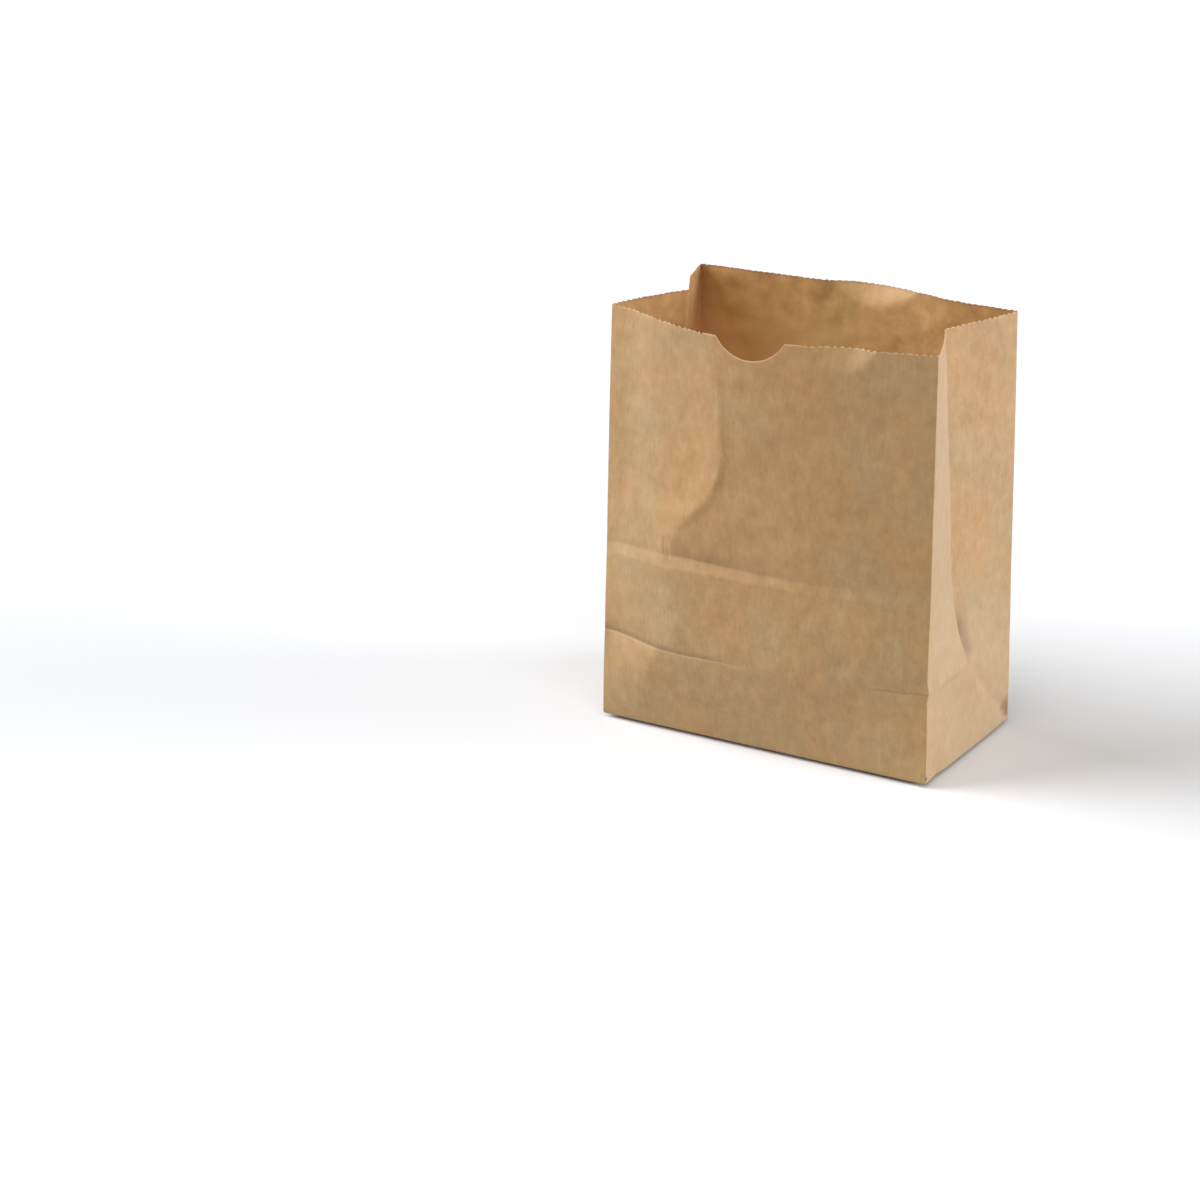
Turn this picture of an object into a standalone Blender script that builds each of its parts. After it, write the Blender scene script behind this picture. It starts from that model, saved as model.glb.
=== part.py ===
"""An open block-bottom bag folded from one sheet of brown kraft paper, standing empty with its mouth open.

The origin is the middle of the flat base. X runs along the front panel, Y runs to the back, Z is up.
A place on the paper is given by its panel, its share of the way across that panel, and its height along
the paper above the base fold. The paper bends but does not stretch, so the mouth is worked out from the
panel widths, the bow of the front and the depth of the gussets.
"""

import math

import bmesh
import bpy

# The sheet.
FRONT_WIDTH = 0.207
SIDE_WIDTH = 0.110
HEIGHT = 0.248
PAPER = 0.00013

# The cut rim: saw teeth all round, and a thumb notch die-cut in the front.
TOOTH_PITCH = 0.0038
TOOTH_DEPTH = 0.0009
NOTCH_WIDTH = 0.042
NOTCH_DEPTH = 0.0128
NOTCH_SHIFT = -0.0015
PLAIN_RIM_BESIDE_NOTCH = 0.009

# How the open bag stands.
FRONT_BOW_AT_RIM = 0.0225
FRONT_BOW_AT_CREASE = 0.0125
FRONT_SKEW = 0.0020
BEND_HEIGHT = 0.0018
BEND_UNDER_NOTCH = 0.40
BEND_LEFT = 0.24
BEND_TURN_TOP = 0.155
BEND_TURN_BOTTOM = 0.105
BACK_BOW = 0.0025
BACK_FLARE = 0.0100
BACK_FLARE_PLACE = 0.008
BACK_FLARE_WIDTH = 0.024
BACK_FLARE_FALL = 0.024
GUSSET_DEPTH = 0.0210
GUSSET_KNEE = 0.0110
GUSSET_KNEE_FALL = 0.025
GUSSET_HOLLOW = 1.18

# Creases left by the flat fold of the bag. They are deeper at the left edge of the front than at the right,
# and the edges themselves stay straight.
FRONT_PINCH = 0.0022
PINCH_FALL = 0.008
PRESSED_LINE = 0.0007
DEPTH_AT_LEFT = 1.35
DEPTH_AT_RIGHT = 0.75
STRAIGHT_EDGE = 0.08
SIDE_CREASE = 0.0006
SIDE_CREASE_FALL = 0.004
STRAIGHT_CORNER = 0.25

# The glued lengthwise seam in the back and the pasted base.
SEAM_WIDTH = 0.022
SEAM_EDGE = -0.025
FLAP_OVERLAP = 0.024
BASE_FOLD = 0.0008
PLY_STEP = 0.0002

# Facets: their size, the rows beside the front crease, and how near an even column may come to the seam.
CELL = 0.011
ROW_BESIDE_CREASE = PINCH_FALL / 3
CLEAR_OF_SEAM = 0.3
NOTCH_FACETS = 14
BAND_UNDER_NOTCH = 0.004

PAPER_COLOUR = (0.479, 0.287, 0.136, 1.0)
PAPER_ROUGHNESS = 0.85

FRONT, RIGHT, BACK, LEFT = range(4)
CREASE = SIDE_WIDTH / 2

# The pasted base: its half sizes, and the levels of its three plies.
BASE_X = FRONT_WIDTH / 2 - BASE_FOLD
BASE_Y = SIDE_WIDTH / 2 - BASE_FOLD
BASE_PLIES = 3
FRONT_FLAP = 0.0
BACK_FLAP = PAPER
SIDE_FLAP = 2 * PAPER


def clear_scene():
    for thing in list(bpy.data.objects):
        bpy.data.objects.remove(thing, do_unlink=True)


def paper_material():
    material = bpy.data.materials.new("brown_kraft_paper")
    material.use_nodes = True
    shader = material.node_tree.nodes["Principled BSDF"]
    shader.inputs["Base Color"].default_value = PAPER_COLOUR
    shader.inputs["Roughness"].default_value = PAPER_ROUGHNESS
    shader.inputs["Metallic"].default_value = 0.0
    return material


def panel_width(panel):
    return FRONT_WIDTH if panel in (FRONT, BACK) else SIDE_WIDTH


def bump(distance, reach):
    """1 at the middle, falling smoothly to nothing on both sides."""
    return math.exp(-((distance / reach) ** 2))


def crease(distance, reach):
    """1 on a crease, falling in a sharp ridge on both sides."""
    return math.exp(-abs(distance) / reach)


def gusset_depth(height):
    """How far the middle crease of a side panel is drawn in."""
    above = height - CREASE
    if above <= 0:
        return 0.0
    steady = (GUSSET_DEPTH - GUSSET_KNEE) * above / (HEIGHT - CREASE)
    return steady + GUSSET_KNEE * (1 - math.exp(-above / GUSSET_KNEE_FALL))


def front_bow(height):
    """How far the middle of the front stands out from its corners."""
    if height < CREASE:
        return FRONT_BOW_AT_CREASE * height / CREASE
    share = (height - CREASE) / (HEIGHT - CREASE)
    return FRONT_BOW_AT_CREASE + (FRONT_BOW_AT_RIM - FRONT_BOW_AT_CREASE) * share


def half_width(height):
    """Half the chord of the front panel: a sheet bowed in a shallow parabola draws its edges together."""
    bowed = front_bow(height) / FRONT_WIDTH
    return FRONT_WIDTH / 2 * (1 - 8 / 3 * bowed**2)


def half_depth(height):
    """Half the chord of a side panel, whose two halves fold inwards."""
    return math.sqrt((SIDE_WIDTH / 2) ** 2 - gusset_depth(height) ** 2)


def bend_place(height):
    """The soft upright bend drops from the notch's left shoulder, then turns left above the pressed line."""
    share = min(1.0, max(0.0, (height - BEND_TURN_BOTTOM) / (BEND_TURN_TOP - BEND_TURN_BOTTOM)))
    turn = share * share * (3 - 2 * share)
    return BEND_LEFT + (BEND_UNDER_NOTCH - BEND_LEFT) * turn


def front_stand(across, height):
    """How far the front stands out from the line between its corners."""
    skew = FRONT_SKEW * height / HEIGHT
    out = front_bow(height) * math.sin(math.pi * across)
    out += skew * math.sin(2 * math.pi * across) - skew / 2 * math.sin(3 * math.pi * across)
    middle = bend_place(height)
    bend = min(across / middle, (1 - across) / (1 - middle))
    out += BEND_HEIGHT * (bend - math.sin(math.pi * across)) * height / HEIGHT
    strength = min(1.0, min(across, 1 - across) / STRAIGHT_EDGE)
    strength *= DEPTH_AT_LEFT + (DEPTH_AT_RIGHT - DEPTH_AT_LEFT) * across
    out -= FRONT_PINCH * strength * crease(height - CREASE, PINCH_FALL)
    out -= PRESSED_LINE * strength * crease(height - SIDE_WIDTH, PINCH_FALL)
    return out


def side_draw(across, height):
    """How far a side panel is drawn in at this place; across runs from its front edge to its back edge."""
    to_middle = 1 - abs(2 * across - 1)
    drawn = gusset_depth(height) * to_middle**GUSSET_HOLLOW
    if height <= CREASE:
        above_crease = height - CREASE * to_middle
        strength = min(1.0, to_middle / STRAIGHT_CORNER)
        drawn += SIDE_CREASE * strength * crease(above_crease, SIDE_CREASE_FALL)
    return drawn


def back_stand(across, height):
    """How far the back stands out; across runs from its right edge to its left edge."""
    place = FRONT_WIDTH * (0.5 - across)
    out = BACK_BOW * height / HEIGHT * math.sin(math.pi * across)
    flare = bump(place - BACK_FLARE_PLACE, BACK_FLARE_WIDTH)
    return out + BACK_FLARE * flare * math.exp((height - HEIGHT) / BACK_FLARE_FALL)


def ply_lift(across):
    """The outer ply of the seam lies one paper further out, and settles back beyond the inner ply's edge."""
    place = FRONT_WIDTH * (0.5 - across)
    if place < SEAM_EDGE:
        return 0.0
    beyond = place - SEAM_EDGE - SEAM_WIDTH
    return PAPER if beyond <= 0 else PAPER * math.exp(-beyond / SEAM_WIDTH)


def wall_point(panel, across, height):
    """The outer face of the wall. What leans out also comes down, because the paper keeps its length."""
    wide = half_width(height)
    deep = half_depth(height)
    if panel == FRONT:
        out = front_stand(across, height)
        x, y = wide * (2 * across - 1), -deep - out
    elif panel == RIGHT:
        out = side_draw(across, height)
        x, y = wide - out, deep * (2 * across - 1)
    elif panel == BACK:
        out = back_stand(across, height)
        x, y = wide * (1 - 2 * across), deep + out + ply_lift(across)
    else:
        out = side_draw(across, height)
        x, y = out - wide, deep * (1 - 2 * across)
    drop = out**2 / (2 * max(height, CREASE))
    return x, y, max(BASE_FOLD, height - drop)


def across_of(panel):
    """The shares across a panel at which the columns of facets stand, without the panel's last edge."""
    count = 2 * max(2, round(panel_width(panel) / CELL / 2))
    shares = [i / count for i in range(count)]
    if panel == BACK:
        edge = 0.5 - SEAM_EDGE / FRONT_WIDTH
        inner = edge - SEAM_WIDTH / FRONT_WIDTH
        step = PLY_STEP / FRONT_WIDTH
        seam = [inner, edge, edge + step]
        shares = [s for s in shares if min(abs(s - e) for e in seam) > CLEAR_OF_SEAM / count] + seam
    return sorted(shares)


def columns():
    return [(panel, share) for panel in (FRONT, RIGHT, BACK, LEFT) for share in across_of(panel)]


def row_heights():
    """Rows meet the corner creases of the sides, the front crease and the pressed line."""
    steps = max(3, round(CREASE / CELL))
    top = HEIGHT - NOTCH_DEPTH - BAND_UNDER_NOTCH
    rows = [BASE_FOLD, CREASE - ROW_BESIDE_CREASE, CREASE + ROW_BESIDE_CREASE]
    rows += [CREASE * i / steps for i in range(1, 2 * steps + 1)]
    upper = max(1, round((top - 2 * CREASE) / CELL))
    rows += [2 * CREASE + (top - 2 * CREASE) * i / upper for i in range(1, upper + 1)]
    return sorted(rows)


def notch_span():
    middle = 0.5 + NOTCH_SHIFT / FRONT_WIDTH
    half = NOTCH_WIDTH / 2 / FRONT_WIDTH
    return middle - half, middle + half


def notch_height(across):
    """The round notch: an arc through its two shoulders and its lowest point."""
    radius = (NOTCH_WIDTH**2 / 4 + NOTCH_DEPTH**2) / (2 * NOTCH_DEPTH)
    start, end = notch_span()
    aside = (across - (start + end) / 2) * FRONT_WIDTH
    return HEIGHT - NOTCH_DEPTH + radius - math.sqrt(max(0.0, radius**2 - aside**2))


def rim_height(panel, across, tip):
    """The height of the cut edge, for a tooth's tip or for the root between two teeth."""
    if panel == FRONT:
        start, end = notch_span()
        plain = PLAIN_RIM_BESIDE_NOTCH / FRONT_WIDTH
        if start < across < end:
            return notch_height(across)
        if start - plain < across < end + plain:
            return HEIGHT
    return HEIGHT if tip else HEIGHT - TOOTH_DEPTH


def rim_between(panel, start, end):
    """The points of the cut edge between two columns."""
    teeth = max(1, round((end - start) * panel_width(panel) / TOOTH_PITCH))
    points = []
    for i in range(1, 2 * teeth):
        share = start + (end - start) * i / (2 * teeth)
        points.append((share, rim_height(panel, share, i % 2 == 1)))
    if panel == FRONT:
        left, right = notch_span()
        points = [p for p in points if not left < p[0] < right]
        for i in range(NOTCH_FACETS + 1):
            share = left + (right - left) * (1 - math.cos(math.pi * i / NOTCH_FACETS)) / 2
            if start < share < end:
                points.append((share, notch_height(share)))
    return sorted(points)


def build_walls(mesh):
    """The four walls, row by row, and the band of facets under the cut rim. Returns the lowest row."""
    places = columns()
    grid = [[mesh.verts.new(wall_point(*place, height)) for place in places] for height in row_heights()]
    count = len(places)
    for lower, upper in zip(grid, grid[1:]):
        for i in range(count):
            j = (i + 1) % count
            mesh.faces.new((lower[i], lower[j], upper[j], upper[i]))
    top = grid[-1]
    rim = [mesh.verts.new(wall_point(*place, rim_height(*place, False))) for place in places]
    for i, (panel, start) in enumerate(places):
        j = (i + 1) % count
        end = places[j][1] if places[j][0] == panel else 1.0
        between = [mesh.verts.new(wall_point(panel, s, h)) for s, h in rim_between(panel, start, end)]
        mesh.faces.new([top[i], top[j], rim[j], *reversed(between), rim[i]])
    return places, grid[0]


def serrated(start, end, depth):
    """Points from start to end along X, cut in teeth towards the back."""
    teeth = max(1, round(abs(end[0] - start[0]) / TOOTH_PITCH))
    points = []
    for i in range(1, 2 * teeth):
        share = i / (2 * teeth)
        points.append((start[0] + (end[0] - start[0]) * share, start[1] + depth * (i % 2)))
    return points


def base_ends(mesh):
    """The corners of the flaps at the left end (-1) and the right end (+1), on each level that meets."""
    lap = FLAP_OVERLAP / 2
    apex = BASE_X - BASE_Y
    ends = {}
    for sign in (-1, 1):
        spots = {
            "apex": (apex, 0.0, (FRONT_FLAP, BACK_FLAP, SIDE_FLAP)),
            "flap": (apex - lap, lap, (FRONT_FLAP, BACK_FLAP)),
            "front": (BASE_X, -BASE_Y, (FRONT_FLAP, SIDE_FLAP)),
            "back": (BASE_X, BASE_Y, (BACK_FLAP, SIDE_FLAP)),
        }
        ends[sign] = {
            name: [mesh.verts.new((sign * x, y, z)) for z in levels] for name, (x, y, levels) in spots.items()
        }
    return ends[-1], ends[1]


def base_edge(mesh, places, ring, panel):
    """The points of one panel's base fold under its wall columns, without the corners."""
    spots = [i for i, (p, share) in enumerate(places) if p == panel and share > 0]
    if panel in (FRONT, BACK):
        y, z = (-BASE_Y, FRONT_FLAP) if panel == FRONT else (BASE_Y, BACK_FLAP)
        scale = BASE_X / (FRONT_WIDTH / 2)
        return [mesh.verts.new((ring[i].co.x * scale, y, z)) for i in spots]
    x = BASE_X if panel == RIGHT else -BASE_X
    scale = BASE_Y / (SIDE_WIDTH / 2)
    return [mesh.verts.new((x, ring[i].co.y * scale, SIDE_FLAP)) for i in spots]


def fill_flaps(mesh, left, right, loops):
    """The front and back flaps with the sawn edge that lies on the back flap, and the two side flaps."""
    x, y = BASE_X - BASE_Y - FLAP_OVERLAP / 2, FLAP_OVERLAP / 2
    cut = serrated((-x, y), (x, y), TOOTH_DEPTH)
    low = [left["flap"][0], *[mesh.verts.new((a, b, FRONT_FLAP)) for a, b in cut], right["flap"][0]]
    high = [left["flap"][1], *[mesh.verts.new((a, b, BACK_FLAP)) for a, b in cut], right["flap"][1]]
    mesh.faces.new([*reversed(loops[FRONT]), left["apex"][0], *low, right["apex"][0]])
    mesh.faces.new([*reversed(loops[BACK]), right["apex"][1], *reversed(high), left["apex"][1]])
    mesh.faces.new([*reversed(loops[RIGHT]), right["apex"][2]])
    mesh.faces.new([*reversed(loops[LEFT]), left["apex"][2]])
    for i in range(len(low) - 1):
        mesh.faces.new((low[i + 1], low[i], high[i], high[i + 1]))


def fill_steps(mesh, end, turned):
    """The small steps from one ply to the next along the slanted edges of the flaps."""
    steps = [
        [end["flap"][0], end["apex"][0], end["apex"][1], end["flap"][1]],
        [end["apex"][0], end["front"][0], end["front"][1], end["apex"][2], end["apex"][1]],
        [end["apex"][2], end["back"][1], end["back"][0], end["apex"][1]],
    ]
    for step in steps:
        mesh.faces.new(step if turned else list(reversed(step)))


def join_to_walls(mesh, places, ring, loops):
    """The narrow rounded fold between the walls' lowest row and the flaps, and its four corners."""
    count = len(places)
    for panel, loop in loops.items():
        first = places.index((panel, 0.0))
        around = [ring[(first + i) % count] for i in range(len(loop))]
        for i in range(len(loop) - 1):
            mesh.faces.new((around[i + 1], around[i], loop[i], loop[i + 1]))
        before = loops[(panel - 1) % len(loops)]
        mesh.faces.new((around[0], before[-1], loop[0]))


def build_base(mesh, places, ring):
    """The pasted base: the side flaps lie innermost, the back flap over them and the front flap outermost."""
    left, right = base_ends(mesh)
    corners = {
        FRONT: (left["front"][0], right["front"][0]),
        RIGHT: (right["front"][1], right["back"][1]),
        BACK: (right["back"][0], left["back"][0]),
        LEFT: (left["back"][1], left["front"][1]),
    }
    loops = {
        panel: [start, *base_edge(mesh, places, ring, panel), end] for panel, (start, end) in corners.items()
    }
    fill_flaps(mesh, left, right, loops)
    fill_steps(mesh, right, False)
    fill_steps(mesh, left, True)
    join_to_walls(mesh, places, ring, loops)


def plies_at(vertex):
    """How many papers lie on each other here."""
    x, y, z = vertex.co
    if z < BASE_FOLD / 2:
        return BASE_PLIES - round(z / PAPER)
    inside_seam = SEAM_EDGE - PLY_STEP / 2 < x < SEAM_EDGE + SEAM_WIDTH + PLY_STEP / 2
    return 2 if inside_seam and y > 0 else 1


def paper_bag():
    sheet = bmesh.new()
    places, ring = build_walls(sheet)
    build_base(sheet, places, ring)
    sheet.verts.index_update()
    plies = {vertex.index: plies_at(vertex) for vertex in sheet.verts}
    mesh = bpy.data.meshes.new("paper_bag")
    sheet.to_mesh(mesh)
    sheet.free()
    bag = bpy.data.objects.new("paper_bag", mesh)
    bpy.context.scene.collection.objects.link(bag)
    mesh.materials.append(paper_material())
    group = bag.vertex_groups.new(name="plies")
    for index, count in plies.items():
        group.add([index], count / BASE_PLIES, "REPLACE")
    thickness = bag.modifiers.new("paper", "SOLIDIFY")
    thickness.thickness = PAPER * BASE_PLIES
    thickness.offset = -1.0
    thickness.vertex_group = group.name
    thickness.use_even_offset = True
    thickness.use_rim = True
    return bag


clear_scene()
paper_bag()
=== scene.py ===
"""The looks of an open block-bottom bag of brown kraft paper.

The bag is one mesh with an outer face, an inner face and a cut rim. A place on the paper is given by its
distance round the bag (from the front left edge: front, right side, back, left side) and its height along
the paper above the base fold. All lengths are in metres.
"""

import math

import bpy
import numpy as np
from mathutils import Euler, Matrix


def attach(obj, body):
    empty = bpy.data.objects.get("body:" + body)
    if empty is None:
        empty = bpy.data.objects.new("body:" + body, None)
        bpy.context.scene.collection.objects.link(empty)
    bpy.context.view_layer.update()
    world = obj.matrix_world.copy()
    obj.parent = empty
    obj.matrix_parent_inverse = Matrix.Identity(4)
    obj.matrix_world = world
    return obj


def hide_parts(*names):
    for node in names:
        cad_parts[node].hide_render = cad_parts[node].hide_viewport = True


# The sheet, as the CAD part has it.
FRONT_WIDTH = 0.207
SIDE_WIDTH = 0.110
HEIGHT = 0.248
PAPER = 0.00013
ROUND = 2 * (FRONT_WIDTH + SIDE_WIDTH)
CREASE = SIDE_WIDTH / 2

# The cut rim.
TOOTH_PITCH = 0.0038
TOOTH_DEPTH = 0.0011
NOTCH_WIDTH = 0.042
NOTCH_DEPTH = 0.0118
NOTCH_SHIFT = -0.0015
PLAIN_RIM_BESIDE_NOTCH = 0.009
# Each tooth's depth and the place of its peak vary between these shares. The wear is what is left of the
# teeth on each panel.
TOOTH_DEPTHS = (0.45, 1.25)
TOOTH_PEAKS = (0.3, 0.7)
TOOTH_WEAR = (1.0, 0.9, 0.45, 0.6)
TOOTH_SEED = 5
FRAY = 0.00008
FRAY_LENGTH = 0.0015
FRAY_SEED = 21
CLEAN_NOTCH_CORNER = 0.001

# How the open bag stands. The bows fix the widths, as in the CAD part; the profiles give the front's outline
# at the rim and at the crease, as (share across, how far it stands out), with the soft bend at BEND.
FRONT_BOW_AT_RIM = 0.0225
FRONT_BOW_AT_CREASE = 0.0125
BEND = 0.375
BEND_PATH = (
    (0.0, 0.12), (0.040, 0.170), (0.055, 0.215), (0.075, 0.275), (0.090, 0.265), (0.103, 0.235),
    (0.115, 0.238), (0.126, 0.262), (0.138, 0.300), (0.148, 0.352), (0.163, 0.393), (0.202, 0.405),
    (0.234, 0.392), (0.248, 0.380),
)
RIM_PROFILE = (
    (0.0, 0.0), (0.074, 0.0035), (0.144, 0.0098), (0.219, 0.0152), (0.292, 0.0193), (0.355, 0.0224),
    (0.395, 0.0231), (0.588, 0.0202), (0.692, 0.0162), (0.798, 0.0114), (0.90, 0.0057), (1.0, 0.0),
)
CREASE_PROFILE = (
    (0.0, 0.0), (0.266, 0.0084), (0.355, 0.0108), (0.395, 0.0111), (0.573, 0.0116), (0.672, 0.0114),
    (0.761, 0.0096), (0.874, 0.0063), (0.941, 0.0036), (1.0, 0.0),
)
GUSSET_PATH = (
    (0.0, 0.0), (0.050, 0.0), (0.0585, 0.0012), (0.079, 0.0070), (0.0885, 0.0097), (0.097, 0.0111),
    (0.136, 0.0137), (0.198, 0.0172), (0.248, 0.0203),
)
GUSSET_HOLLOW = 1.18
# The back half of the left gusset is bent once, at this share of the way in and of the gusset's depth.
LEFT_BACK_BEND = (0.54, 0.40)
BACK_BOW = 0.0025
BACK_RIM_PROFILE = (
    (-0.1035, 0.0), (-0.086, 0.0), (-0.070, 0.0001), (-0.057, 0.0012), (-0.044, 0.0014), (-0.029, 0.0019),
    (-0.018, 0.0037), (-0.005, 0.0050), (0.015, 0.0049), (0.031, 0.0050), (0.041, 0.0043), (0.056, 0.0007),
    (0.070, -0.0005), (0.086, -0.0005), (0.1035, 0.0),
)
BACK_RIM_FALL = 0.026
# A half moon of the back's rim is curled out.
CURL_PLACE = 0.009
CURL_WIDTH = 0.028
CURL_HEIGHT = 0.0112
CURL_TILT = 0.42
SEAM_WIDTH = 0.022
SEAM_EDGE = -0.025
FLAP_OVERLAP = 0.024
# The rounded fold under the walls stands clear of the ground; the rings run in to where the base touches it.
BASE_FOLD = 0.0012
BASE_LIFT = 0.0022
BASE_DOME = (0.0025, 0.0050, 0.0075, 0.0100)

FRONT, RIGHT, BACK, LEFT = range(4)
PANEL_START = np.array([0.0, FRONT_WIDTH, FRONT_WIDTH + SIDE_WIDTH, 2 * FRONT_WIDTH + SIDE_WIDTH])
PANEL_WIDTH = np.array([FRONT_WIDTH, SIDE_WIDTH, FRONT_WIDTH, SIDE_WIDTH])

# The mesh: columns on the front and back, columns on the sides and rows below the crease, rows above it, rows
# across the pressed band, and columns along the rim.
CELL = 0.0021
SIDE_CELL = 0.00195
WALL_CELL = 0.0023
BAND_CELL = 0.0011
FINE_CELL = 0.00048
BESIDE_FOLD = (0.0003, 0.0007, 0.0015)
BAND_ROWS = (0.1035, 0.1155)
RIM_BAND = 0.040
RIM_ROWS = 16
COARSE_ROW_UNDER_RIM = 0.0030
FINE_ROW_UNDER_RIM = 0.0015
NOTCH_SHOULDER = 0.0007
CLEAR_OF_NOTCH = 0.0005
SEAM_STEP = 0.0003
CLEAR_OF_SEAM = 0.0006
FOLD_STEPS = 3


def panel_of(around):
    return np.searchsorted(PANEL_START, around, side="right") - 1


# Smooth shapes.


def bump(distance, reach):
    return np.exp(-((distance / reach) ** 2))


def ridge(distance, reach):
    return np.exp(-np.abs(distance) / reach)


def smooth_step(value, start, end):
    share = np.clip((value - start) / (end - start), 0.0, 1.0)
    return share * share * (3 - 2 * share)


def ripple(x, y, length, seed, waves=22):
    """Soft random waves of about this length, with a spread of about one."""
    rng = np.random.default_rng(seed)
    total = np.zeros(np.broadcast(x, y).shape)
    for _ in range(waves):
        turn, phase = rng.uniform(0, 2 * math.pi, 2)
        pace = 2 * math.pi / length * rng.uniform(0.6, 1.5)
        total = total + np.cos(pace * (math.cos(turn) * x + math.sin(turn) * y) + phase)
    return total / math.sqrt(waves / 2)


# The standing shape of the paper.


def through(knots, x):
    """A smooth curve through the knots, each a place and a value."""
    places, values = np.array(knots).T
    slopes = np.gradient(values, places)
    i = np.clip(np.searchsorted(places, x, side="right") - 1, 0, len(places) - 2)
    step = places[i + 1] - places[i]
    t = np.clip((x - places[i]) / step, 0.0, 1.0)
    start = (1 + 2 * t) * (1 - t) ** 2 * values[i] + t * (1 - t) ** 2 * step * slopes[i]
    return start + t * t * (3 - 2 * t) * values[i + 1] + t * t * (t - 1) * step * slopes[i + 1]


def gusset_depth(height):
    return np.maximum(through(GUSSET_PATH, height), 0.0)


def front_bow(height):
    lower = FRONT_BOW_AT_CREASE * np.minimum(height, CREASE) / CREASE
    share = np.maximum(height - CREASE, 0.0) / (HEIGHT - CREASE)
    return lower + (FRONT_BOW_AT_RIM - FRONT_BOW_AT_CREASE) * share


def half_width(height):
    return FRONT_WIDTH / 2 * (1 - 8 / 3 * (front_bow(height) / FRONT_WIDTH) ** 2)


def half_depth(height):
    return np.sqrt((SIDE_WIDTH / 2) ** 2 - gusset_depth(height) ** 2)


def held(across, margin):
    """0 at a panel's edges and 1 further in: the folded edges hold the paper straight."""
    return np.clip(np.minimum(across, 1 - across) / margin, 0.0, 1.0)


def front_stand(across, height):
    bend = through(BEND_PATH, height)
    before = across / bend * BEND
    beyond = BEND + (across - bend) / (1 - bend) * (1 - BEND)
    share = np.clip(np.where(across < bend, before, beyond), 0.0, 1.0)
    rise = np.clip((height - CREASE) / (HEIGHT - CREASE), 0.0, 1.0)
    low = np.clip(height / CREASE, 0.0, 1.0)
    out = through(CREASE_PROFILE, share) * (1 - rise) * low + through(RIM_PROFILE, share) * rise
    return out + front_creases(across, height)


# The front's creases and dents. At half the side's width the front is pinched in, most of all at the left.
# Above it a pressed band crosses the front, with a small kink where it meets the bend.
CREASE_PATH = (
    (0.0, 0.0553), (0.08, 0.0543), (0.17, 0.0538), (0.30, 0.0545), (0.42, 0.0548), (0.80, 0.0550),
    (1.0, 0.0553),
)
PINCH_DEPTH = (
    (0.0, 0.0), (0.025, 0.0020), (0.08, 0.0029), (0.16, 0.0029), (0.205, 0.0022), (0.25, 0.0013),
    (0.33, 0.0010), (0.50, 0.0008), (0.80, 0.0006), (0.97, 0.0006), (1.0, 0.0),
)
PINCH_FALL = 0.0085
BAND_LOW = ((0.0, 0.1016), (0.24, 0.1062), (0.64, 0.1058), (1.0, 0.1052))
BAND_HIGH = ((0.0, 0.1087), (0.24, 0.1134), (0.40, 0.1128), (0.64, 0.1116), (1.0, 0.1110))
BAND_DEPTH = (
    (0.0, 0.0), (0.03, 0.0007), (0.20, 0.0008), (0.27, 0.0014), (0.50, 0.0011), (0.85, 0.0004), (1.0, 0.0),
)
BAND_FALL_ABOVE = 0.0065
KINK_PLACE = 0.232
KINK_DEPTH = 0.0007
KINK_FALL = 0.0016
KINK_HEIGHT = 0.1105
KINK_REACH = 0.0065
# The bend's edge stands out. It is sharpest at this height.
CREST = 0.0017
CREST_BEFORE = 0.008
CREST_BEYOND = 0.0025
CREST_HEIGHT = 0.172
CREST_REACH = 0.042
# A half moon of the front's rim is tilted in.
DENT_PLACE = 0.748
DENT_WIDTH = 0.095
DENT_HEIGHT = 0.0135
DENT_TILT = 0.30
# A nick in the middle of the crease.
NICK_DEPTH = 0.0004
NICK_PLACE = 0.385
NICK_WIDTH = 0.0030
NICK_HEIGHT = 0.0535
NICK_FALL = 0.0012


def half_moon(aside, tall, tilt, height):
    """How far the rim is tilted over a curved hinge. Aside is 0 in its middle and 1 or -1 at its ends."""
    hinge = HEIGHT - tall * (1 - aside**2)
    return tilt * np.maximum(height - np.minimum(hinge, HEIGHT), 0.0)


def front_creases(across, height):
    pinch = through(PINCH_DEPTH, across) * ridge(height - through(CREASE_PATH, across), PINCH_FALL)
    low, high = through(BAND_LOW, across), through(BAND_HIGH, across)
    above = np.exp(-np.maximum(height - high, 0.0) / BAND_FALL_ABOVE)
    within = np.clip((height - low) / (high - low), 0.0, 1.0)
    band = through(BAND_DEPTH, across) * above * within
    beside_kink = (across - KINK_PLACE) * FRONT_WIDTH
    kink = KINK_DEPTH * ridge(beside_kink, KINK_FALL) * bump(height - KINK_HEIGHT, KINK_REACH)
    dent = half_moon((across - DENT_PLACE) / DENT_WIDTH, DENT_HEIGHT, DENT_TILT, height)
    past_bend = (across - through(BEND_PATH, height)) * FRONT_WIDTH
    crest = CREST * ridge(past_bend, np.where(past_bend < 0, CREST_BEFORE, CREST_BEYOND))
    crest = crest * bump(height - CREST_HEIGHT, CREST_REACH)
    beside_nick = (across - NICK_PLACE) * FRONT_WIDTH
    nick = NICK_DEPTH * bump(beside_nick, NICK_WIDTH) * ridge(height - NICK_HEIGHT, NICK_FALL)
    return crest - (pinch + band + kink + dent + nick)


# Under the gusset two slanting creases run down from its end, as an upside-down V. The first of each pair of
# values is for the crease that comes first round the bag.
LEG_SLOPES = (1.345, 0.94)
LEG_DEPTHS = (0.0013, 0.0014)
LEG_FALL = 0.0035
LEG_TOP = CREASE + 0.004
LEG_MARGIN = 0.2
# The fold is pushed in at the gusset's end.
KNEE_DEPTH = 0.0034
KNEE_FALLS = (0.0012, 0.0060)
KNEE_HEIGHT = 0.072
KNEE_REACH = 0.0135
MARK_MARGIN = 0.01
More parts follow.
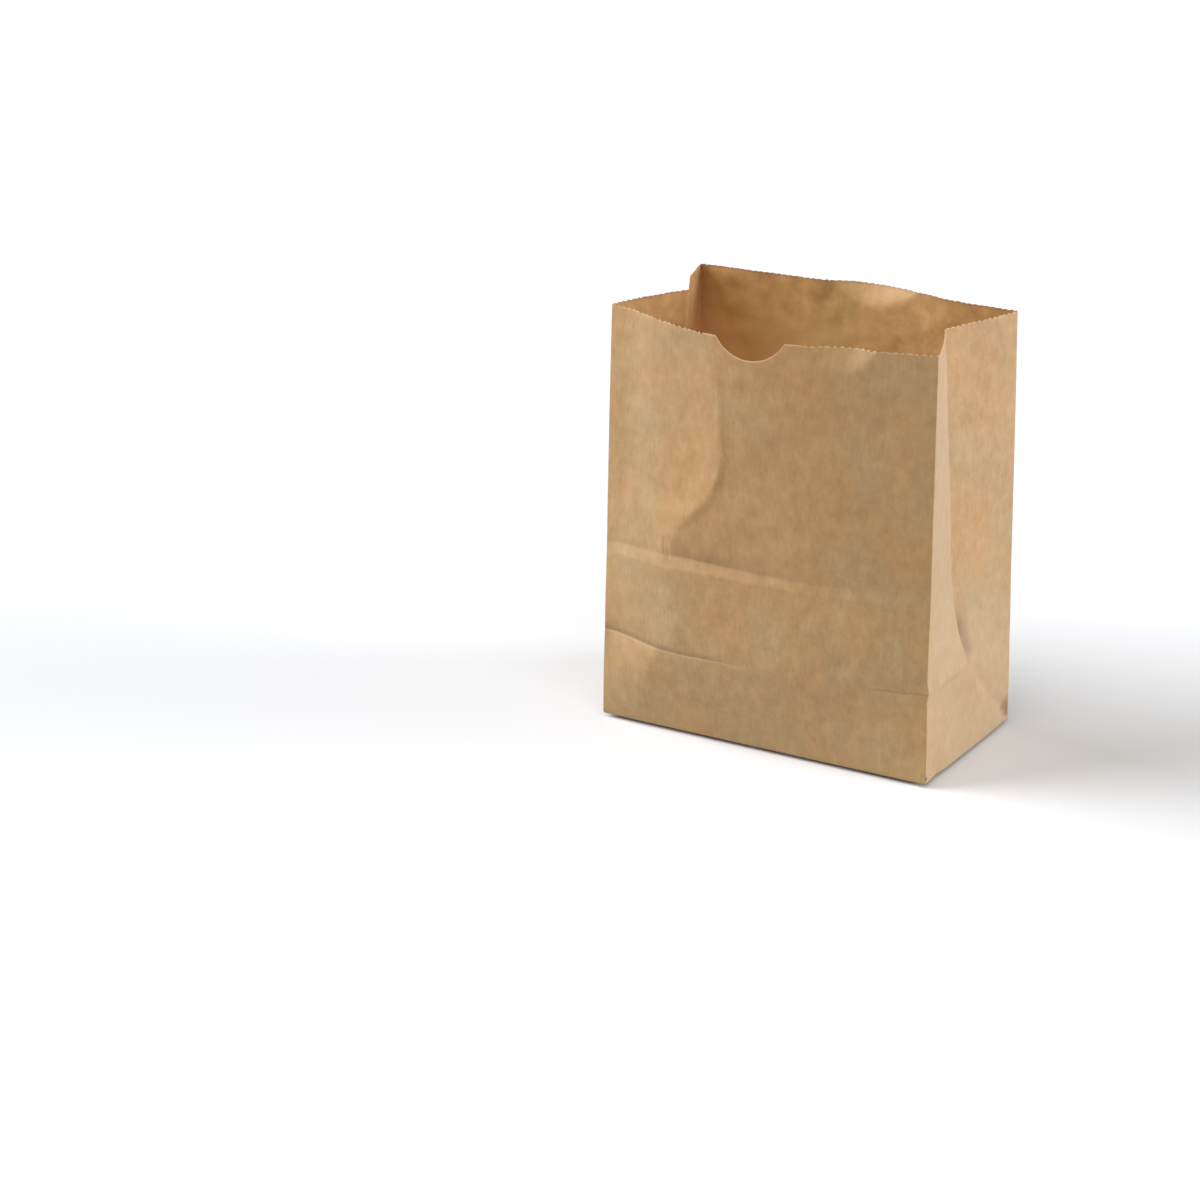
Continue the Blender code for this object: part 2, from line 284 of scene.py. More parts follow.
# Marks of the right side alone: how deep, the place across and its reach, the height and its reach.
STREAK = (-0.0009, 0.578, 0.0022, 0.041, 0.010)
CRUMPLE = (0.0024, 0.950, 0.0030, 0.0095, 0.0050)


def side_mark(mark, across, height):
    depth, place, reach, level, reach_up = mark
    return depth * bump((across - place) * SIDE_WIDTH, reach) * bump(height - level, reach_up)


def side_draw(across, height, right):
    """How far a side panel is drawn in. Across runs round the bag, from the right panel's front edge on."""
    to_middle = np.maximum(1 - np.abs(2 * across - 1), 0.0)
    bent = np.interp(to_middle, (0.0, LEFT_BACK_BEND[0], 1.0), (0.0, LEFT_BACK_BEND[1], 1.0))
    drawn = gusset_depth(height) * np.where(right | (across > 0.5), to_middle**GUSSET_HOLLOW, bent)
    past = (across - 0.5) * SIDE_WIDTH
    slope = np.where(past < 0, *LEG_SLOPES)
    off = (height - CREASE + slope * np.abs(past)) / np.hypot(1.0, slope)
    strength = np.clip(to_middle / LEG_MARGIN, 0.0, 1.0) * (height < LEG_TOP)
    legs = np.where(past < 0, *LEG_DEPTHS) * strength * ridge(off, LEG_FALL)
    knee = KNEE_DEPTH * ridge(past, np.where(past > 0, *reversed(KNEE_FALLS)))
    knee = knee * bump(height - KNEE_HEIGHT, KNEE_REACH)
    own = side_mark(STREAK, across, height) + side_mark(CRUMPLE, across, height)
    marks = knee + np.where(right, own, 0.0)
    return drawn + legs + marks * held(across, MARK_MARGIN)


def back_stand(across, height):
    place = FRONT_WIDTH * (0.5 - across)
    out = BACK_BOW * height / HEIGHT * np.sin(math.pi * across)
    out = out + through(BACK_RIM_PROFILE, place) * np.exp((height - HEIGHT) / BACK_RIM_FALL)
    out = out + half_moon((place - CURL_PLACE) / CURL_WIDTH, CURL_HEIGHT, CURL_TILT, height)
    beyond = place - SEAM_EDGE - SEAM_WIDTH
    settled = np.where(beyond <= 0, 1.0, np.exp(-np.maximum(beyond, 0) / SEAM_WIDTH))
    return out + PAPER * np.where(place < SEAM_EDGE, 0.0, settled)


# The paper's own soft unevenness: each wave's height, length and random seed.
COCKLES = ((0.00014, 0.055, 11), (0.00009, 0.021, 12), (0.00004, 0.0085, 13))
COCKLE_MARGIN = 0.06
COCKLE_START = 0.02


def cockle(around, height, across):
    """The folded edges hold the unevenness back."""
    rise = sum(tall * ripple(around, height, length, seed) for tall, length, seed in COCKLES)
    return rise * held(across, COCKLE_MARGIN) * smooth_step(height, 0.0, COCKLE_START)


# The front right edge bulges a little where the front's crease ends.
NUB = 0.0010
NUB_HEIGHT = 0.0570
NUB_REACH = 0.0035
NUB_SHARE = 0.1


def y_side(panel, along):
    """Below 0 on the front half of the bag."""
    return np.choose(panel, [-1.0 + 0 * along, along, 1.0 + 0 * along, -along])


def sharp_point(around, height):
    """The outer face before its folds are rounded."""
    around = np.mod(around, ROUND)
    panel = panel_of(around)
    across = (around - PANEL_START[panel]) / PANEL_WIDTH[panel]
    wide = half_width(height)
    deep = half_depth(height)
    front = front_stand(across, height)
    side = side_draw(across, height, panel == RIGHT)
    back = back_stand(across, height)
    rough = cockle(around, height, across)
    out = np.choose(panel, [front + rough, -side + rough, back + rough, -side + rough])
    along = 2 * across - 1
    x = np.choose(panel, [wide * along, wide + out, -wide * along, -wide - out])
    near_edge = np.clip((x / wide - (1 - NUB_SHARE)) / NUB_SHARE, 0.0, 1.0)
    x = x + NUB * bump(height - NUB_HEIGHT, NUB_REACH) * near_edge * (y_side(panel, along) < 0)
    y = np.choose(panel, [-deep - out, deep * along, deep + out, -deep * along])
    drop = out**2 / (2 * np.maximum(height, CREASE))
    lift = BASE_LIFT * np.maximum(1 - height / CREASE, 0.0)
    return np.stack([x, y, height - drop + lift], -1)


# The window that rounds the folds: its size, its steps round the bag with their weights, and its steps up.
FOLD_WINDOW = 0.00040
STEPS_ROUND = ((-1.0, 0.5), (-0.5, 1.0), (0.0, 1.0), (0.5, 1.0), (1.0, 0.5))
STEPS_UP = (-0.7, 0.0, 0.7)


def paper_point(around, height):
    """The outer face with rounded folds: the mean over a small window of the paper."""
    total = 0.0
    for a, weight in STEPS_ROUND:
        for b in STEPS_UP:
            total = total + weight * sharp_point(around + a * FOLD_WINDOW, height + b * FOLD_WINDOW)
    return total / (sum(weight for _, weight in STEPS_ROUND) * len(STEPS_UP))


# The rim.


def notch_span():
    middle = FRONT_WIDTH / 2 + NOTCH_SHIFT
    return middle - NOTCH_WIDTH / 2, middle + NOTCH_WIDTH / 2


def plain_rim(around):
    """The cut line without its teeth: straight, with the round notch."""
    radius = (NOTCH_WIDTH**2 / 4 + NOTCH_DEPTH**2) / (2 * NOTCH_DEPTH)
    start, end = notch_span()
    aside = around - (start + end) / 2
    arc = HEIGHT - NOTCH_DEPTH + radius - np.sqrt(np.maximum(0.0, radius**2 - aside**2))
    return np.where((around > start) & (around < end), np.minimum(arc, HEIGHT), HEIGHT)


def sawn_rim(around):
    """The cut line with its teeth, each a little different, and its frayed fibres."""
    start, end = notch_span()
    rng = np.random.default_rng(TOOTH_SEED)
    count = int(round(ROUND / TOOTH_PITCH))
    tooth = around / ROUND * count
    index = np.floor(tooth).astype(int) % count
    depth = TOOTH_DEPTH * rng.uniform(*TOOTH_DEPTHS, count)
    peak = rng.uniform(*TOOTH_PEAKS, count)[index]
    share = tooth - np.floor(tooth)
    zigzag = np.where(share < peak, share / peak, (1 - share) / (1 - peak))
    beside = np.minimum(np.abs(around - start), np.abs(around - end))
    in_plain = (around > start - PLAIN_RIM_BESIDE_NOTCH) & (around < end + PLAIN_RIM_BESIDE_NOTCH)
    worn = np.choose(panel_of(np.mod(around, ROUND)), TOOTH_WEAR)
    teeth = np.where(in_plain, 0.0, worn * depth[index] * (1 - zigzag))
    clean = np.where(beside < CLEAN_NOTCH_CORNER, 0.0, 1.0)
    fray = FRAY * ripple(around, around * 0, FRAY_LENGTH, FRAY_SEED) * clean
    return plain_rim(around) - teeth + fray


# Columns and rows.


def spaced(start, end, cell):
    count = max(1, int(round((end - start) / cell)))
    return list(np.linspace(start, end, count + 1))


def fold_to_fold(width, cell):
    """Places between two folds, closer together beside the folds."""
    near = [0.0, *BESIDE_FOLD]
    far = [width - d for d in near]
    return sorted(set(near + spaced(BESIDE_FOLD[-1], width - BESIDE_FOLD[-1], cell)[1:-1] + far))


def with_extra(places, extra, clear):
    kept = [p for p in places if min(abs(p - e) for e in extra) > clear]
    return sorted(kept + list(extra))


def column_places():
    start, end = notch_span()
    corners = (start, start + NOTCH_SHOULDER, end - NOTCH_SHOULDER, end)
    front = with_extra(fold_to_fold(FRONT_WIDTH, CELL), corners, CLEAR_OF_NOTCH)
    half = fold_to_fold(CREASE, SIDE_CELL)
    side = sorted(set(half + [SIDE_WIDTH - d for d in half]))
    edge = FRONT_WIDTH / 2 - SEAM_EDGE
    seam = (edge - SEAM_WIDTH, edge - SEAM_STEP, edge + SEAM_STEP)
    back = with_extra(fold_to_fold(FRONT_WIDTH, CELL), seam, CLEAR_OF_SEAM)
    places = []
    for panel, own in enumerate((front, side, back, side)):
        places += [PANEL_START[panel] + p for p in own[:-1]]
    return np.array(places)


def row_heights():
    rows = [h for h in fold_to_fold(CREASE, SIDE_CELL) if h >= BASE_FOLD]
    rows += [CREASE + d for d in BESIDE_FOLD]
    band_start, band_end = BAND_ROWS
    rows += spaced(CREASE + BESIDE_FOLD[-1], band_start, WALL_CELL)[1:]
    rows += spaced(band_start, band_end, BAND_CELL)[1:]
    rows += spaced(band_end, HEIGHT - RIM_BAND, WALL_CELL)[1:]
    return np.array(rows)


class Sheet:
    """Gathers the mesh: points, their places on the paper, faces, and what kind each face is."""

    def __init__(self):
        self.points = []
        self.paper = []
        self.count = 0
        self.faces = []
        self.kinds = []

    def add(self, points, around, height):
        """Adds points and gives back their numbers."""
        points = np.asarray(points, float).reshape(-1, 3)
        where = np.stack([np.ravel(around), np.ravel(height)], -1)
        self.points.append(points)
        self.paper.append(where)
        numbers = np.arange(self.count, self.count + len(points))
        self.count += len(points)
        return numbers

    def quads(self, lower, upper, kind):
        """Closed strips of faces between two rings, or between the rows of two grids."""
        lower, upper = np.atleast_2d(lower), np.atleast_2d(upper)
        a, b = lower, np.roll(lower, -1, axis=1)
        d, c = upper, np.roll(upper, -1, axis=1)
        faces = np.stack([a, b, c, d], -1).reshape(-1, 4)
        self.faces += faces.tolist()
        self.kinds += [kind] * len(faces)

    def face(self, corners, kind):
        self.faces.append([int(c) for c in corners])
        self.kinds.append(kind)


OUTSIDE, INSIDE, DOME, UNDER, FLOOR, CUT = range(6)


def fine_places(columns):
    """The rim's places: each gap between columns in fine steps. Also gives the first place of each gap."""
    places, firsts = [], []
    ends = np.append(columns[1:], ROUND)
    for start, end in zip(columns, ends):
        firsts.append(len(places))
        steps = max(1, int(round((end - start) / FINE_CELL)))
        places += [start + (end - start) * i / steps for i in range(steps)]
    return np.array(places), firsts


def band_faces(sheet, coarse, fine, firsts):
    """The faces between the last coarse row and the fine row under the rim."""
    ends = firsts[1:] + [len(fine)]
    for i, (first, last) in enumerate(zip(firsts, ends)):
        j = (i + 1) % len(coarse)
        top = [fine[k % len(fine)] for k in range(first, last + 1)]
        sheet.face([coarse[i], coarse[j], *reversed(top)], OUTSIDE)


def wall_rows(columns):
    """Heights of every wall row at every column; the last rows follow the notch."""
    low = row_heights()
    heights = np.repeat(low[:, None], len(columns), axis=1)
    top = plain_rim(columns) - COARSE_ROW_UNDER_RIM
    start = HEIGHT - RIM_BAND
    shares = np.arange(1, RIM_ROWS + 1)[:, None] / RIM_ROWS
    return np.vstack([heights, start + (top - start)[None, :] * shares])


def normals_of(points, faces):
    mesh = bpy.data.meshes.new("for_normals")
    mesh.from_pydata(points.tolist(), [], faces)
    mesh.update()
    normals = np.zeros(len(points) * 3, np.float32)
    mesh.vertex_normals.foreach_get("vector", normals)
    bpy.data.meshes.remove(mesh)
    return normals.reshape(-1, 3).astype(float)


def plies_here(around):
    """How many papers lie on each other at a place of the back seam."""
    place = PANEL_START[BACK] + FRONT_WIDTH / 2 - around
    return np.where((place > SEAM_EDGE) & (place < SEAM_EDGE + SEAM_WIDTH), 2.0, 1.0)


def build_walls(sheet):
    """The outer face, the inner face one paper further in, and the cut between. Returns the lowest rows."""
    columns = column_places()
    heights = wall_rows(columns)
    around = np.repeat(columns[None, :], len(heights), axis=0)
    fine, firsts = fine_places(columns)
    under = plain_rim(fine) - FINE_ROW_UNDER_RIM
    cut = sawn_rim(fine)

    grid_points = paper_point(around, heights)
    under_points = paper_point(fine, under)
    cut_points = paper_point(fine, cut)
    outer = Sheet()
    grid = outer.add(grid_points, around, heights).reshape(heights.shape)
    under_row = outer.add(under_points, fine, under)
    cut_row = outer.add(cut_points, fine, cut)
    outer.quads(grid[:-1], grid[1:], OUTSIDE)
    band_faces(outer, grid[-1], under_row, firsts)
    outer.quads(under_row, cut_row, OUTSIDE)

    points = np.vstack(outer.points)
    paper = np.vstack(outer.paper)
    normals = normals_of(points, outer.faces)
    thickness = PAPER * plies_here(paper[:, 0])
    inner_points = points - normals * thickness[:, None]
    first = sheet.add(points, paper[:, 0], paper[:, 1])[0]
    inner_first = sheet.add(inner_points, paper[:, 0], paper[:, 1])[0]
    sheet.faces += [[first + c for c in f] for f in outer.faces]
    sheet.kinds += [OUTSIDE] * len(outer.faces)
    # Each inner face starts at the same corner as its outer face, so both split along the same diagonal.
    sheet.faces += [[inner_first + c for c in (f[0], *reversed(f[1:]))] for f in outer.faces]
    sheet.kinds += [INSIDE] * len(outer.faces)
    sheet.quads(first + cut_row, inner_first + cut_row, CUT)
    return columns, first + grid[0], inner_first + grid[0]


# The folded base.


def base_half_sizes():
    return FRONT_WIDTH / 2 - BASE_FOLD, SIDE_WIDTH / 2 - BASE_FOLD


def base_levels(around):
    """The level of the lowest ply under each place: front flap, side flap, back flap, side flap."""
    panel = panel_of(around)
    return np.choose(panel, [0.0, 2 * PAPER, PAPER, 2 * PAPER])


def dome(inset):
    """The base touches the ground a little inside its folded edge, which stays clear of it."""
    return BASE_LIFT * max(0.0, 1 - inset / BASE_DOME[-1]) ** 2


def fold_under(sheet, columns, ring):
    """The rounded fold from the walls to the base. Returns the ring where the flaps begin."""
    start = np.vstack(sheet.points)[ring]
    x, y = base_half_sizes()
    flat = start[:, :2] * (2 * x / FRONT_WIDTH, 2 * y / SIDE_WIDTH)
    level = base_levels(columns) + BASE_LIFT
    last = ring
    for step in range(1, FOLD_STEPS + 1):
        turn = math.pi / 2 * step / FOLD_STEPS
        share = 1 - math.cos(turn)
        spots = start[:, :2] + (flat - start[:, :2]) * share
        levels = start[:, 2] + (level - start[:, 2]) * math.sin(turn)
        row = sheet.add(np.column_stack([spots, levels]), columns, np.full(len(columns), -share * BASE_FOLD))
        sheet.quads(row, last, OUTSIDE)
        last = row
    for inset in BASE_DOME:
        spots = flat * ((x - inset) / x, (y - inset) / y)
        levels = base_levels(columns) + dome(inset)
        row = sheet.add(np.column_stack([spots, levels]), columns, np.full(len(columns), -BASE_FOLD - inset))
        sheet.quads(row, last, DOME)
        last = row
    return last


def sawn_edge(x, y):
    """The flap's cut edge from left to right."""
    teeth = int(round(2 * x / TOOTH_PITCH))
    places = np.linspace(-x, x, 2 * teeth + 1)[1:-1]
    return [(p, y + TOOTH_DEPTH * (i % 2 == 0)) for i, p in enumerate(places)]


def build_underside(sheet, columns, ring):
    """The side flaps lie innermost, the back flap over them and the front flap outermost."""
    x, y = base_half_sizes()
    lap = FLAP_OVERLAP / 2
    levels = (0.0, PAPER, 2 * PAPER)

    def point(px, py, pz):
        return sheet.add([(px, py, pz)], [px], [py])[0]

    corner = {s: {} for s in (-1, 1)}
    for s in (-1, 1):
        corner[s]["apex"] = [point(s * (x - y), 0.0, z) for z in levels]
        corner[s]["flap"] = [point(s * (x - y - lap), lap, z) for z in levels[:2]]
    cut = sawn_edge(x - y - lap, lap)
    low = [corner[-1]["flap"][0], *[point(a, b, levels[0]) for a, b in cut], corner[1]["flap"][0]]
    high = [corner[-1]["flap"][1], *[point(a, b, levels[1]) for a, b in cut], corner[1]["flap"][1]]

    starts = [int(np.argmin(np.abs(columns - PANEL_START[p]))) for p in range(4)]
    loops = []
    for panel in range(4):
        first = starts[panel]
        last = starts[(panel + 1) % 4] + (len(columns) if panel == LEFT else 0)
        loops.append([ring[i % len(columns)] for i in range(first, last + 1)])
    left, right = corner[-1], corner[1]
    sheet.face([*reversed(loops[FRONT]), left["apex"][0], *low, right["apex"][0]], UNDER)
    sheet.face([*reversed(loops[BACK]), right["apex"][1], *reversed(high), left["apex"][1]], UNDER)
    sheet.face([*reversed(loops[RIGHT]), right["apex"][2]], UNDER)
    sheet.face([*reversed(loops[LEFT]), left["apex"][2]], UNDER)
    for i in range(len(low) - 1):
        sheet.face((low[i + 1], low[i], high[i], high[i + 1]), UNDER)
    for end, front_corner, back_corner, turned in (
        (right, loops[FRONT][-1], loops[BACK][0], False),
        (left, loops[FRONT][0], loops[BACK][-1], True),
    ):
        steps = [
            [end["flap"][0], end["apex"][0], end["apex"][1], end["flap"][1]],
            [end["apex"][0], front_corner, end["apex"][2], end["apex"][1]],
            [end["apex"][2], back_corner, end["apex"][1]],
        ]
        for step in steps:
            sheet.face(step if turned else list(reversed(step)), UNDER)


# The inner floor: how many papers high it lies on the front and back flaps and on the side flaps, the rings
# of its rounded edge, and the even rings that follow.
FLOOR_PLIES = (2.2, 3.2)
FLOOR_EDGE = (0.0002, 0.0006, 0.0014)
FLOOR_START = 0.0035
FLOOR_MIDDLE = 0.004
FLOOR_CELL = 0.0045


def build_inner_floor(sheet, columns, ring):
    """Rings that run in from the walls to the middle."""
    start = np.vstack(sheet.points)[ring]
    x, y = base_half_sizes()
    x, y = x - PAPER, y - PAPER
    panel = panel_of(columns)
    low, high = (plies * PAPER for plies in FLOOR_PLIES)
    level = np.where((panel == FRONT) | (panel == BACK), low, high)
    flat = start[:, :2] * (2 * x / FRONT_WIDTH, 2 * y / SIDE_WIDTH)
    last = ring
    insets = [*FLOOR_EDGE, *spaced(FLOOR_START, y - FLOOR_MIDDLE, FLOOR_CELL)]
    for i, inset in enumerate(insets):
        plain = flat * ((x - inset) / x, (y - inset) / y)
        rise = (start[:, 2] - level - BASE_LIFT) * max(0.0, 1 - (i + 1) / len(FLOOR_EDGE)) ** 2
        points = np.column_stack([plain, level + dome(inset) + rise])
        row = sheet.add(points, columns, np.full(len(columns), -inset))
        sheet.quads(last, row, FLOOR)
        last = row
    sheet.face(last, FLOOR)


def build_bag():
    sheet = Sheet()
    columns, outer, inner = build_walls(sheet)
    fold = fold_under(sheet, columns, outer)
    build_underside(sheet, columns, fold)
    build_inner_floor(sheet, columns, inner)
    points = np.vstack(sheet.points)
    paper = np.vstack(sheet.paper)
    mesh = bpy.data.meshes.new("kraft_bag")
    mesh.from_pydata(points.tolist(), [], sheet.faces)
    mesh.update()
    bag = bpy.data.objects.new("kraft_bag", mesh)
    bpy.context.scene.collection.objects.link(bag)
    write_paper_coordinates(mesh, paper, np.array(sheet.kinds))
    smooth_faces(mesh, np.array(sheet.kinds))
    return bag


def corner_arrays(mesh):
    corners = np.zeros(len(mesh.loops), np.int64)
    mesh.loops.foreach_get("vertex_index", corners)
    totals = np.zeros(len(mesh.polygons), np.int64)
    mesh.polygons.foreach_get("loop_total", totals)
    owner = np.repeat(np.arange(len(mesh.polygons)), totals)
    return corners, owner


# The unwrap: its size, its margin, how far up the inner face and the cut lie, and where the base's faces lie.
UNWRAP_SIZE = 0.70
UNWRAP_MARGIN = 0.008
INNER_UP = 0.262
CUT_UP = 0.535
CUT_TALL = 0.001
UNDER_CORNER = (0.12, 0.61)
FLOOR_CORNER = (0.36, 0.61)
# The base's patterns are taken this much lower than the walls', and the folds are this far off other panels.
BASE_BELOW = 0.2
NO_FOLD = -1.0


def write_paper_coordinates(mesh, paper, kinds):
    """Each face corner gets its place on the paper, which the material's fibres and the unwrap follow."""
    corners, owner = corner_arrays(mesh)
    where = paper[corners]
    kind = kinds[owner]
    flat = (kind == UNDER) | (kind == DOME) | (kind == FLOOR)
    points = np.zeros(len(mesh.vertices) * 3)
    mesh.vertices.foreach_get("co", points)
    where[flat] = points.reshape(-1, 3)[corners[flat], :2]
    first = np.full(len(kinds), np.inf)
    np.minimum.at(first, owner, where[:, 0])
    last = np.full(len(kinds), -np.inf)
    np.maximum.at(last, owner, where[:, 0])
    wraps = ~flat & ((last - first)[owner] > ROUND / 2) & (where[:, 0] < ROUND / 2)
    where[wraps, 0] += ROUND

    inside = np.where((kind == INSIDE) | (kind == FLOOR), 1.0, 0.0)
    vector = np.column_stack([where[:, 0], where[:, 1], inside])
    vector[flat, 1] -= BASE_BELOW
    attribute = mesh.attributes.new("paper", "FLOAT_VECTOR", "CORNER")
    attribute.data.foreach_set("vector", vector.astype(np.float32).ravel())

    edge = np.maximum(plain_rim(np.mod(where[:, 0], ROUND)) - where[:, 1], 0.0)
    edge[flat] = HEIGHT
    edge[kind == CUT] = 0.0
    attribute = mesh.attributes.new("below_rim", "FLOAT", "CORNER")
    attribute.data.foreach_set("value", edge.astype(np.float32))

    share = np.clip(where[:, 0] / FRONT_WIDTH, 0.0, 1.0)
    on_front = (kind == OUTSIDE) & (where[:, 0] <= FRONT_WIDTH)
    lines = [where[:, 1] - through(path, share) for path in (CREASE_PATH, BAND_LOW, BAND_HIGH)]
    folds = np.where(on_front[:, None], np.column_stack(lines), NO_FOLD)
    attribute = mesh.attributes.new("folds", "FLOAT_VECTOR", "CORNER")
    attribute.data.foreach_set("vector", folds.astype(np.float32).ravel())

    spot = where + UNWRAP_MARGIN
    spot[kind == INSIDE, 1] += INNER_UP
    spot[kind == CUT, 1] = CUT_UP
    spot[kind == CUT, 1] += CUT_TALL * (np.flatnonzero(kind == CUT) % 4 >= 2)
    below = (kind == UNDER) | (kind == DOME)
    spot[below] = where[below] + UNDER_CORNER
    spot[kind == FLOOR] = where[kind == FLOOR] + FLOOR_CORNER
    unwrap = mesh.uv_layers.new(name="OFBake")
    unwrap.data.foreach_set("uv", (spot / UNWRAP_SIZE).astype(np.float32).ravel())


def smooth_faces(mesh, kinds):
    """Everything is smooth, with crisp edges round the cut and along the flaps' steps."""
    mesh.polygons.foreach_set("use_smooth", np.ones(len(mesh.polygons), bool))
    _, owner = corner_arrays(mesh)
    edge_of = np.zeros(len(mesh.loops), np.int64)
    mesh.loops.foreach_get("edge_index", edge_of)
    kind = kinds[owner]
    lowest = np.full(len(mesh.edges), CUT)
    np.minimum.at(lowest, edge_of, kind)
    highest = np.full(len(mesh.edges), -1)
    np.maximum.at(highest, edge_of, kind)
    sharp = (lowest != highest) & (highest == CUT)
    sharp |= (lowest == UNDER) & (highest == UNDER)
    attribute = mesh.attributes.new("sharp_edge", "BOOLEAN", "EDGE")
    attribute.data.foreach_set("value", sharp)


# Materials.


class Nodes:
    """Makes and joins the nodes of one material or world."""

    def __init__(self, owner):
        owner.use_nodes = True
        self.tree = owner.node_tree

    def make(self, kind, **inputs):
        node = self.tree.nodes.new(kind)
        for name, value in inputs.items():
            self.put(node, name.replace("_", " "), value)
        return node

    def put(self, node, name, value):
        socket = node.inputs[name]
        if isinstance(value, bpy.types.NodeSocket):
            self.tree.links.new(value, socket)
        else:
            socket.default_value = value

    def math(self, operation, a, b=0.0, c=0.0, clamp=False):
        node = self.tree.nodes.new("ShaderNodeMath")
        node.operation = operation
        node.use_clamp = clamp
        for i, value in enumerate((a, b, c)):
            if isinstance(value, bpy.types.NodeSocket):
                self.tree.links.new(value, node.inputs[i])
            else:
                node.inputs[i].default_value = value
        return node.outputs[0]

    def times(self, first, *others):
        for other in others:
            first = self.math("MULTIPLY", first, other)
        return first

    def add_spread(self, value, gain, base):
        """Adds to the base how far the value is from one half, times the gain."""
        return self.math("MULTIPLY_ADD", self.math("SUBTRACT", value, 0.5), gain, base)

    def attribute(self, name):
        node = self.make("ShaderNodeAttribute")
        node.attribute_name = name
        return node

    def parts(self, vector):
        node = self.make("ShaderNodeSeparateXYZ", Vector=vector)
        return [node.outputs[axis] for axis in "XYZ"]

    def mix(self, factor, a, b):
        node = self.tree.nodes.new("ShaderNodeMix")
        node.data_type = "RGBA"
        for i, value in ((0, factor), (6, a), (7, b)):
            if isinstance(value, bpy.types.NodeSocket):
                self.tree.links.new(value, node.inputs[i])
            else:
                node.inputs[i].default_value = value
        return node.outputs[2]

    def remap(self, value, low, high, to_low=0.0, to_high=1.0):
        node = self.tree.nodes.new("ShaderNodeMapRange")
        self.put(node, "Value", value)
        for name, number in (("From Min", low), ("From Max", high), ("To Min", to_low), ("To Max", to_high)):
            node.inputs[name].default_value = number
        return node.outputs["Result"]

    def stretched(self, vector, scale):
        node = self.tree.nodes.new("ShaderNodeVectorMath")
        node.operation = "MULTIPLY"
        self.tree.links.new(vector, node.inputs[0])
        node.inputs[1].default_value = scale
        return node.outputs[0]

    def slope(self, value, none, full):
        """0 at none and beyond it, and 1 at full and beyond it. Either may be the lower one."""
        return self.remap(value, none, full) if none < full else self.remap(value, full, none, 1.0, 0.0)

    def within(self, value, window):
        """A window is the two ends of a slope, or low, high and how soft each of those is outwards."""
        if len(window) == 2:
            return self.slope(value, *window)
        low, high, soft_low, soft_high = window
        return self.times(self.slope(value, low - soft_low, low), self.slope(value, high + soft_high, high))

    def spot(self, vector, middle, reach):
        """1 in the middle of a round spot, and 0 at its reach."""
        node = self.tree.nodes.new("ShaderNodeVectorMath")
        node.operation = "DISTANCE"
        self.tree.links.new(vector, node.inputs[0])
        node.inputs[1].default_value = middle
        return self.slope(node.outputs["Value"], reach, 0.3 * reach)

    def noise(self, vector, stretch, size, detail, roughness):
        if stretch:
            vector = self.stretched(vector, stretch)
        node = self.make("ShaderNodeTexNoise", Vector=vector, Detail=detail, Roughness=roughness)
        node.inputs["Scale"].default_value = 1 / size
        return node.outputs["Factor" if "Factor" in node.outputs else "Fac"]


# Patterns of the paper: how they are squeezed across and up, their size, detail and roughness.
CLOUDS = (None, 0.034, 2.0, 0.5)
PATCHES = ((1.2, 0.85, 1.0), 0.0080, 3.0, 0.6)
STREAKS = ((2.2, 0.40, 1.0), 0.0036, 3.0, 0.6)
FIBRES = ((1.0, 0.16, 1.0), 0.00042, 3.0, 0.65)
HUES = ((1.0, 0.8, 1.0), 0.040, 2.0, 0.5)
FLECKS = ((1.0, 0.3, 1.0), 0.0011, 2.0, 0.5)
BLOTCHES = (None, 0.0115, 4.0, 0.6)
GRAIN = ((1.0, 0.45, 1.0), 0.0010, 4.0, 0.6)
STRAY = (None, 0.011, 1.0, 0.5)
STRAY_WIDTH = 0.0016
# How much of each pattern is in the paper's tone.
TONE_GAINS = ((CLOUDS, 0.6), (PATCHES, 1.2), (STREAKS, 0.8), (FIBRES, 0.8))
TONE_RANGE = (0.10, 0.90)
HUE_RANGE = (0.36, 0.64)
BLOTCH_RANGE = (0.30, 0.70)
FLECK_RANGE = (0.70, 0.78)
FLECK_STRENGTH = 0.30

# The outer paper, from brown to orange, dark and light. The front is a little more orange at one place.
DARK_BROWN, DARK_ORANGE = (0.364, 0.226, 0.089, 1.0), (0.404, 0.222, 0.074, 1.0)
LIGHT_BROWN, LIGHT_ORANGE = (0.480, 0.320, 0.142, 1.0), (0.516, 0.306, 0.118, 1.0)
ORANGE_PLACE = (0.105, 0.150, 0.0)
ORANGE_REACH = 0.075
FLECK = (0.30, 0.165, 0.075, 1.0)
# The inner paper, and the painted light on its part behind the notch and in the back left corner.
INNER_DARK, INNER_LIGHT = (0.366, 0.192, 0.045, 1.0), (0.556, 0.332, 0.113, 1.0)
INNER_PAINTED_LIGHT = (0.760, 0.490, 0.180, 1.0)
PAINTED_LIGHT_HEIGHT = (0.242, 0.200)
PAINTED_LIGHT_AROUND = (0.445, 0.548, 0.050, 0.020)
PAINTED_LIGHT_STRENGTH = 0.80
INNER_STRENGTH = 0.92
# Colours of painted light and shade: painted highlights, painted light and sheen, painted shades, the
# pinhole's painted shade, and the paler cut fibres with a painted highlight.
PALE_PAINTED_HIGHLIGHT = (0.640, 0.450, 0.255, 1.0)
PALE_PINK_PAINTED_LIGHT = (0.600, 0.440, 0.300, 1.0)
DARK_PAINTED_SHADE = (0.205, 0.115, 0.050, 1.0)
BROWN_PAINTED_SHADE = (0.230, 0.105, 0.036, 1.0)
PINHOLE_PAINTED_SHADE = (0.120, 0.050, 0.015, 1.0)
CUT_FIBRE_AND_HIGHLIGHT = (0.74, 0.53, 0.33, 1.0)
